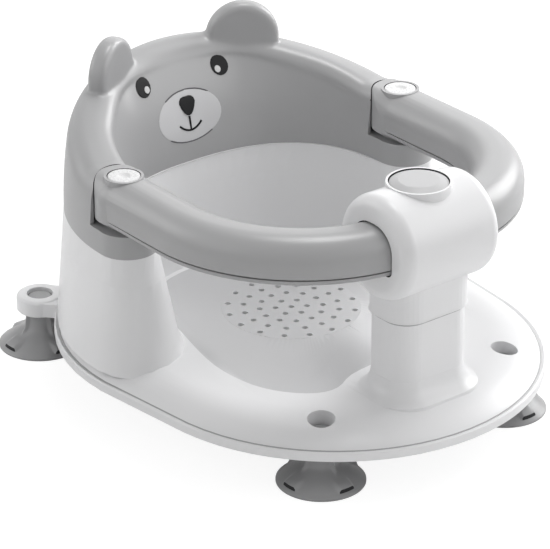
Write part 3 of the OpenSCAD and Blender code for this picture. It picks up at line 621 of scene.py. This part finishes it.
# %% Melt the forms into one skin
only(backrest)
for form in forms:
    form.select_set(True)
bpy.ops.object.join()
backrest.data.remesh_voxel_size = VOXEL * MM
bpy.ops.object.voxel_remesh()
bpy.ops.object.mode_set(mode="EDIT")
bpy.ops.mesh.select_all(action="SELECT")
bpy.ops.mesh.vertices_smooth(factor=0.5, repeat=7)
bpy.ops.object.mode_set(mode="OBJECT")
print("backrest:", len(backrest.data.polygons), "faces")

# %% Pockets for the hinges and the lower edge
POCKET_X, POCKET_Y, POCKET_Z, POCKET_R, POCKET_TALL = 112, 18.75, 180.5, 20.6, 80


def block(x, y, z, wide, deep, tall):
    """A box, by the place of its middle and its sizes in millimetres."""
    bpy.ops.mesh.primitive_cube_add(size=1, location=(x * MM, y * MM, z * MM),
                                    scale=(wide * MM, deep * MM, tall * MM))
    return bpy.context.object


carve(backrest, block(0, 70, SPLIT_Z - 20, 400, 400, 40))
for sign in (-1, 1):
    carve(backrest, block(sign * POCKET_X, POCKET_Y, POCKET_Z, 100, 55.5, POCKET_TALL))
    carve(backrest, rod(sign * HINGE[0], HINGE[1], POCKET_Z, POCKET_R, POCKET_TALL, vertices=128))
backrest.data.materials.clear()
backrest.data.materials.append(grey)
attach(backrest, nodes["bear_backrest"]["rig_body"])
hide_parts("bear_backrest")
skins["bear_backrest"] = backrest
print("backrest with pockets:", len(backrest.data.polygons), "faces")

# %% [markdown]
# ## Hinge knuckles
# Seen from outside, a knuckle carries the roll of the backrest on to the arm, with only a thin gap
# between them. A ring round each hinge has that form: its top follows the arm's section in front
# and the roll's section behind.


# %% Crowns of the knuckles
ARM_MID, ARM_R, ARM_FLAT = 157.6, 16.5, 2.5
ROLL_MID, ROLL_R = 164.5, 10
CROWN_FOOT = 146.0
# Each pair is a radius and how far the surface lies below the knuckle's top there
CROWN_STEPS = [
    (13.0, 0), (14.2, 0), (15.4, 0), (16.6, 0), (17.8, 0), (18.6, 0), (19.2, 0.1), (19.6, 0.35),
    (19.85, 0.8), (19.95, 1.6), (19.95, None), (13.0, None), (13.0, 0),
]


def knuckle_top(x, y):
    """Height of the knuckle; x grows outwards from the hinge and y backwards."""
    front = ARM_MID + math.sqrt(ARM_R ** 2 - max(0, min(abs(x), 19) - ARM_FLAT) ** 2)
    if x < 0:
        behind = ROLL_MID + math.sqrt(max(0, ROLL_R ** 2 - max(0, -x - ROLL_R) ** 2))
    else:
        behind = ARM_TOP - 15 * (x / 19.7) ** 4
    return blend_to(front, behind, soft_step((y + 9) / 17))


for side, sign in (("left", -1), ("right", 1)):
    def crown_point(i, k):
        """A point of the crown: 3 i degrees round the hinge, k steps round its section."""
        r, drop = CROWN_STEPS[k]
        turn = math.radians(3 * i)
        x, y = r * math.cos(turn), r * math.sin(turn)
        z = CROWN_FOOT if drop is None else knuckle_top(x, y) - drop
        return sign * (HINGE[0] + x), HINGE[1] + y, z

    crown = bend_grid(side + "_knuckle_crown", 120, len(CROWN_STEPS) - 1, crown_point)
    crown.data.materials.append(grey)
    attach(crown, nodes[side + "_arm"]["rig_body"])
    skins[side + "_knuckle_crown"] = crown
    print(crown.name, len(crown.data.polygons), "faces")

# %% [markdown]
# ## Suction cups
# A cup is soft rubber: a thin skirt, a neck with four small ribs and a round head. Near its edge
# the skirt rises into four flaps that a finger can lift. A lathe can't make the flaps, so the cup
# is a polar grid, and its surface is lifted or pushed out where a flap or a rib is. One cup is
# made, and the others are copies with meshes of their own, moved to the middles of their nodes.

# %% Section of a cup
# Each pair is a radius and a height: under the skirt, over its edge, up the neck, round the head
CUP_LINE = [
    (0, 5.5), (10.2, 5), (19.8, 3), (28.8, 0), (30, 0), (30, 1.1), (29.2, 1.9), (28.3, 2.5),
    (27.6, 3.0), (27.3, 3.2), (26.6, 3.8), (25.4, 4.7), (23.6, 5.9), (21.6, 7.3), (19.5, 8.7),
    (17.3, 10.1), (15, 11.7), (13.2, 13.2), (12.1, 14.6), (11.3, 16.6), (10.7, 19), (10.3, 22),
    (10, 26), (9.6, 27), (6.6, 27), (6.6, 30), (8.2, 30), (8.6, 30.4), (8.6, 35.6), (8.4, 36.6),
    (7.7, 37.3), (6.8, 37.5), (4, 37.5), (0, 37.5),
]
EDGE_STEP, NECK_STEP = 5, 22
CUP_SIDES = 144
FLAP_HALF, FLAP_LIFT, FLAP_R = 7.2, 2.4, 27.5
RIB_HALF, RIB_OUT = 1.3, 2.2


def cup_point(i, k):
    """A point of the cup's surface, in millimetres from the middle of the cup."""
    r, z = CUP_LINE[k]
    degrees = i * 360 / CUP_SIDES
    turn = math.radians(degrees)
    aside = abs(r * math.radians((degrees + 45) % 90 - 45))
    if EDGE_STEP <= k <= NECK_STEP:
        if r < FLAP_R:
            z += FLAP_LIFT * soft_step((FLAP_HALF - aside) / 2.6) * soft_step((r - 17) / 9)
        r += RIB_OUT * math.exp(-((aside / RIB_HALF) ** 2)) * soft_step((z - 10.5) / 3)
    return r * math.cos(turn), r * math.sin(turn), z


print("points on a cup's section:", len(CUP_LINE))

# %% Four cups
one_cup = bend_grid("cup", CUP_SIDES, len(CUP_LINE) - 1, cup_point)
one_cup.data.materials.append(rubber)
# A thin ring under the flaps gets painted shade, for the dark slit there
paint(one_cup, gap_painted_shade, lambda x, y, z, nx, ny, nz: 27.2 < math.hypot(x, y) < 27.7 and z > 3.5)
cup_middles = []
for name in CUPS:
    low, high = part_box(name)
    middle = ((low[0] + high[0]) / 2, (low[1] + high[1]) / 2)
    cup_middles.append((middle[0] / MM, middle[1] / MM))
    cup = one_cup.copy()
    cup.data = one_cup.data.copy()
    cup.name = name + "_soft"
    bpy.context.scene.collection.objects.link(cup)
    only(cup)
    bpy.ops.transform.translate(value=(*middle, 0))
    bpy.ops.object.transform_apply(location=True, rotation=False, scale=False)
    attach(cup, nodes[name]["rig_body"])
    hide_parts(name)
    skins[name] = cup
bpy.data.objects.remove(one_cup)
print("cups at", [tuple(round(c, 1) for c in middle) for middle in cup_middles])

# %% [markdown]
# ## Seat pan
# The pan that the child sits in lies in the shade of the wall and the arms, and that shade is
# painted: its faces get a darker white, with a rougher, duller surface than the deck. Its edge is a
# smooth line, so the same line is drawn here through its thirteen measured points, and the faces
# inside it get the darker white of painted shade.

# %% Edge of the pan as a smooth line
PAN_HALF = [
    (0, 98.5), (40, 94), (66, 76), (78, 47), (84, 22), (89.5, -6), (92, -35), (89, -62),
    (79, -83), (63, -98), (47, -100.5), (28, -92), (0, -89),
]


def smooth_closed(points, steps):
    """A smooth closed line through points, with so many steps from one to the next."""
    line = []
    for i in range(len(points)):
        a, b, c, d = (points[(i + j) % len(points)] for j in (-1, 0, 1, 2))
        for t in (j / steps for j in range(steps)):
            line.append(tuple(
                0.5 * (2 * b[m] + (c[m] - a[m]) * t
                       + (2 * a[m] - 5 * b[m] + 4 * c[m] - d[m]) * t * t
                       + (3 * b[m] - a[m] - 3 * c[m] + d[m]) * t ** 3) for m in (0, 1)))
    return line


def inside_line(x, y, line):
    """True where a point lies inside a closed line of points."""
    hit = False
    for (x0, y0), (x1, y1) in zip(line, line[1:] + line[:1]):
        if (y0 > y) != (y1 > y) and x < (x1 - x0) * (y - y0) / (y1 - y0) + x0:
            hit = not hit
    return hit


pan_line = smooth_closed(PAN_HALF + [(-x, y) for x, y in PAN_HALF[-2:0:-1]], 3)
print("points on the pan's edge:", len(pan_line))

# %% Painted shade on the pan
base = skins["base_shell"]
# The faces inside the pan's edge get the darker white: painted shade
pan_shade_faces = paint(base, pan_painted_shade, lambda x, y, z, nx, ny, nz: nz > 0.05 and 34 < z < 54
                  and inside_line(x, y, pan_line))
print("pan faces:", pan_shade_faces)

# %% [markdown]
# ## Groove along the edge
# A thin crease runs behind the outer lip of the base. The ring of vertices there is lowered, which
# leaves a groove, and the foot of its inner slope gets a thin grey line of painted shade. The walls
# of the holes over the cups' heads are in deep shade, so their floors are painted dark.

# %% Groove behind the lip, and the shade in the cup holes
RING_Z, GROOVE_DEPTH, CREASE_Z = 35.7, 1.1, 35.25
HOLE_R = 9.5


def on_shoulder(x, y, z, nx, ny, nz):
    """True on the slope that rises from the groove to the deck."""
    return 35.3 < z < 37 and 0.6 < nz < 0.85 and nx * x + ny * y > 0


groove = pick(base, lambda x, y, z: abs(z - RING_Z) < 0.04)
bpy.ops.transform.translate(value=(0, 0, -GROOVE_DEPTH * MM))
bpy.ops.object.mode_set(mode="OBJECT")
# The whole slope gets the line's painted shade, and the part above a new ring of edges is white
# again
paint(base, crease_painted_shade, on_shoulder)
cut_ring(base, (0, 0, CREASE_Z), UP)
paint(base, white, on_shoulder)
# The floors of the holes over the cups' heads get painted shade
holes = paint(base, gap_painted_shade, lambda x, y, z, nx, ny, nz: 29 < z < 31 and nz > 0.5
              and min(math.hypot(x - a, y - b) for a, b in cup_middles) < HOLE_R)
print("groove vertices:", groove, "hole faces:", holes)

# %% [markdown]
# ## Parting lines of the arms
# Each arm is two mouldings: a long shell, and a strip that closes it from below. Where they meet,
# both have a small chamfer, which reads as a thin line along the arm. A plane adds a ring of edges
# on each side of the joint, and the edge itself is then drawn inwards.

# %% Chamfers at the joint of arm and cover
JOINT_Z, CHAMFER = 148.5, 0.6

for side in ("left", "right"):
    arm, strip = skins[side + "_arm"], skins[side + "_arm_cover"]
    cut_ring(arm, (0, 0, JOINT_Z + CHAMFER), UP)
    cut_ring(strip, (0, 0, JOINT_Z - CHAMFER), UP)
    counts = [swell(p, lambda x, y, z: abs(z - JOINT_Z) < 0.02, -0.55) for p in (arm, strip)]
    print(side, "joint vertices:", counts)

# %% [markdown]
# ## Collar and post
# The head's collar ends in a thin lip that catches the light, and a small step under it keeps the
# post in shade. The lip is the collar's own lower edge, pulled out below a new ring of edges. The
# top edge of the post is drawn in, and a thin grey band of painted shadow goes under it.

# %% Lip of the collar, shadow step of the post and its painted shadow
COLLAR_Z = 105.0
COLLAR, POST = (65.2, 45.2, 17.6), (62, 42, 16)
LIP_TALL, STEP_TALL, SHADE_TALL = 1.3, 0.8, 2.0
collar_middle = (0, HEAD_Y * MM, COLLAR_Z * MM)


def at_collar(outline):
    """A test for the vertices on a rounded outline at the height of the collar's edge."""
    return lambda x, y, z: (abs(z - COLLAR_Z) < 0.02
                            and abs(off_round_rect(x, y - HEAD_Y, *outline)) < 0.3)


head = skins["head_housing"]
cut_ring(head, (0, 0, COLLAR_Z + LIP_TALL), UP)
lip_count = pick(head, at_collar(COLLAR))
bpy.ops.transform.resize(value=(1.02, 1.03, 1), center_override=collar_middle)
bpy.ops.object.mode_set(mode="OBJECT")
cut_ring(base, (0, 0, COLLAR_Z - STEP_TALL), UP)
step_count = pick(base, at_collar(POST))
bpy.ops.transform.resize(value=(0.97, 0.96, 1), center_override=collar_middle)
bpy.ops.object.mode_set(mode="OBJECT")
cut_ring(base, (0, 0, COLLAR_Z - SHADE_TALL), UP)
# A thin band of the post under the collar gets painted shadow
step_shadow_faces = paint(base, crease_painted_shade,
                   lambda x, y, z, nx, ny, nz: 0.02 < COLLAR_Z - z < SHADE_TALL - 0.05
                   and -1.6 < off_round_rect(x, y - HEAD_Y, *POST) < 0.3)
print("lip vertices:", lip_count, "step vertices:", step_count, "step faces:", step_shadow_faces)

# %% [markdown]
# ## Lip of the wall
# On the seat side the white wall ends in a thin lip below the backrest, and it shows as a bright
# line. It is made as the collar's lip: a new ring of edges below, and the top edge pulled out.

# %% Lip below the backrest
WALL_LIP = 1.4


def on_wall_lip(x, y, z):
    """True on the inner top edge of the wall, away from its round ends."""
    r = math.hypot(x, y - BACK_Y)
    return (abs(z - SPLIT_Z) < 0.02 and y > 33 and r < 112
            and abs(r - squarish(math.atan2(y - BACK_Y, x))) < 1.2)


cut_ring(base, (0, 0, SPLIT_Z - WALL_LIP), UP)
lip_ring = pick(base, on_wall_lip)
bpy.ops.transform.resize(value=(0.988, 0.988, 1),
                         center_override=(0, BACK_Y * MM, SPLIT_Z * MM))
bpy.ops.object.mode_set(mode="OBJECT")
print("lip vertices:", lip_ring)

# %% [markdown]
# ## Drain plate
# On the real seat the perforated middle flows into the pan. The CAD plate stands a hair above it,
# so the vertices on its rim are lowered until the edge sinks into the pan.

# %% Lower the rim of the drain plate
PLATE_Y, PLATE_Z, RIM_DROP = 7.2, 51, 0.25

rim = pick(base, lambda x, y, z: abs(z - PLATE_Z) < 0.2
           and 47.6 < math.hypot(x, y - PLATE_Y) < 48.9)
bpy.ops.transform.translate(value=(0, 0, -RIM_DROP * MM))
bpy.ops.object.mode_set(mode="OBJECT")
print("rim vertices:", rim)

# %% [markdown]
# ## Painted shade in the gaps
# Gaps between mouldings go deep and look black. The walls inside them get a dark colour that is
# painted shade: round the arms' ends in the head, round the button, round the hinge caps and round
# the hinge knuckles in the backrest.


# %% Paint shade on the walls inside the gaps
def round_hinge(x, y):
    """Distance from the nearer hinge's axis."""
    return math.hypot(abs(x) - HINGE[0], y - HINGE[1])


def in_arm_recess(x, y, z, nx, ny, nz):
    """True on the walls of the recess that an arm's end enters."""
    side = abs(nx) < 0.3 or abs(x) < 39.0
    return side and 38.6 < abs(x) < 41.3 and abs(y - HEAD_Y) < 20.6 and 142.6 < z < 175.8


def in_button_well(x, y, z, nx, ny, nz):
    """True on the wall and the floor of the well round the button."""
    r = math.hypot(x, y - BUTTON_Y)
    inward = nx * x + ny * (y - BUTTON_Y) < -0.5 * r
    return z > 178 and ((r < 20.3 and inward) or (r < 20.0 and z < 184))


painted = {
    "head": paint(head, gap_painted_shade, lambda *spot: in_arm_recess(*spot) or in_button_well(*spot)),
    "button": paint(skins["release_button"], gap_painted_shade,
                    lambda x, y, z, nx, ny, nz: abs(nz) < 0.2 and z > 180),
    "backrest": paint(skins["bear_backrest"], gap_painted_shade,
                      lambda x, y, z, nx, ny, nz: 20.2 < round_hinge(x, y) < 21 and abs(nz) < 0.2
                      and z > 141),
}
for side in ("left", "right"):
    painted[side + " arm"] = paint(
        skins[side + "_arm"], gap_painted_shade,
        lambda x, y, z, nx, ny, nz: 10.8 < round_hinge(x, y) < 11.7 and abs(nz) < 0.2 and z > 170.5)
    painted[side + " cap"] = paint(
        skins[side + "_hinge_cap"], gap_painted_shade,
        lambda x, y, z, nx, ny, nz: abs(nz) < 0.2 and z < 174)
print("faces in the gaps:", painted)

# %% [markdown]
# ## Painted shade line round the muzzle
# The muzzle is a thin inlay, and the shade in the narrow seam round it is painted as a fine dark
# line.
# The line follows the inlay's own edge: the ring of vertices there is copied, turned into a curve,
# given a round section and made a mesh.

# %% Painted shade line round the muzzle
muzzle = skins["muzzle"]
MUZZLE_Z, MUZZLE_HALF_W, MUZZLE_HALF_H = 156.4, 27.5, 18.0
LINE_R = 0.5


def on_muzzle_edge(x, y, z):
    """True on the oval outline of the muzzle."""
    return abs(math.hypot(x / MUZZLE_HALF_W, (z - MUZZLE_Z) / MUZZLE_HALF_H) - 1) < 0.004


edge_y = {}
for v in muzzle.data.vertices:
    x, y, z = (c / MM for c in v.co)
    if on_muzzle_edge(x, y, z):
        key = (round(x, 1), round(z, 1))
        edge_y[key] = min(edge_y.get(key, 999), y)
on_edge = pick(muzzle, lambda x, y, z: on_muzzle_edge(x, y, z)
               and y < edge_y[(round(x, 1), round(z, 1))] + 0.05)
bpy.ops.mesh.duplicate()
bpy.ops.mesh.separate(type="SELECTED")
bpy.ops.object.mode_set(mode="OBJECT")
line = [o for o in bpy.context.selected_objects if o is not muzzle][0]
line.name = "muzzle_line"
only(line)
bpy.ops.object.convert(target="CURVE")
line = bpy.context.object
line.data.bevel_depth = LINE_R * MM
line.data.bevel_resolution = 2
bpy.ops.object.convert(target="MESH")
line = bpy.context.object
# The line gets the dark colour of painted shade
line.data.materials.clear()
line.data.materials.append(muzzle_edge_shade)
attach(line, nodes["muzzle"]["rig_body"])
print("muzzle line:", on_edge, "points,", len(line.data.polygons), "faces")


# %% [markdown]
# ## Smooth shading
# Faces that meet at a small angle share their shading, so that the curves read as curves, and the
# true edges stay crisp. Weighted normals keep the large flat faces even beside small ones.

# %% Shade every copy
CRISP_ANGLE, LARGE_FACES = 32, 60


def shade_skin(piece):
    """Smooth shading with crisp edges over an angle."""
    only(piece)
    bpy.ops.object.shade_smooth_by_angle(angle=math.radians(CRISP_ANGLE))
    even = piece.modifiers.new("even", "WEIGHTED_NORMAL")
    even.keep_sharp = True
    even.weight = LARGE_FACES
    apply_all(piece)


for name, piece in skins.items():
    shade_skin(piece)
shade_skin(line)
print("shaded:", len(skins) + 1)
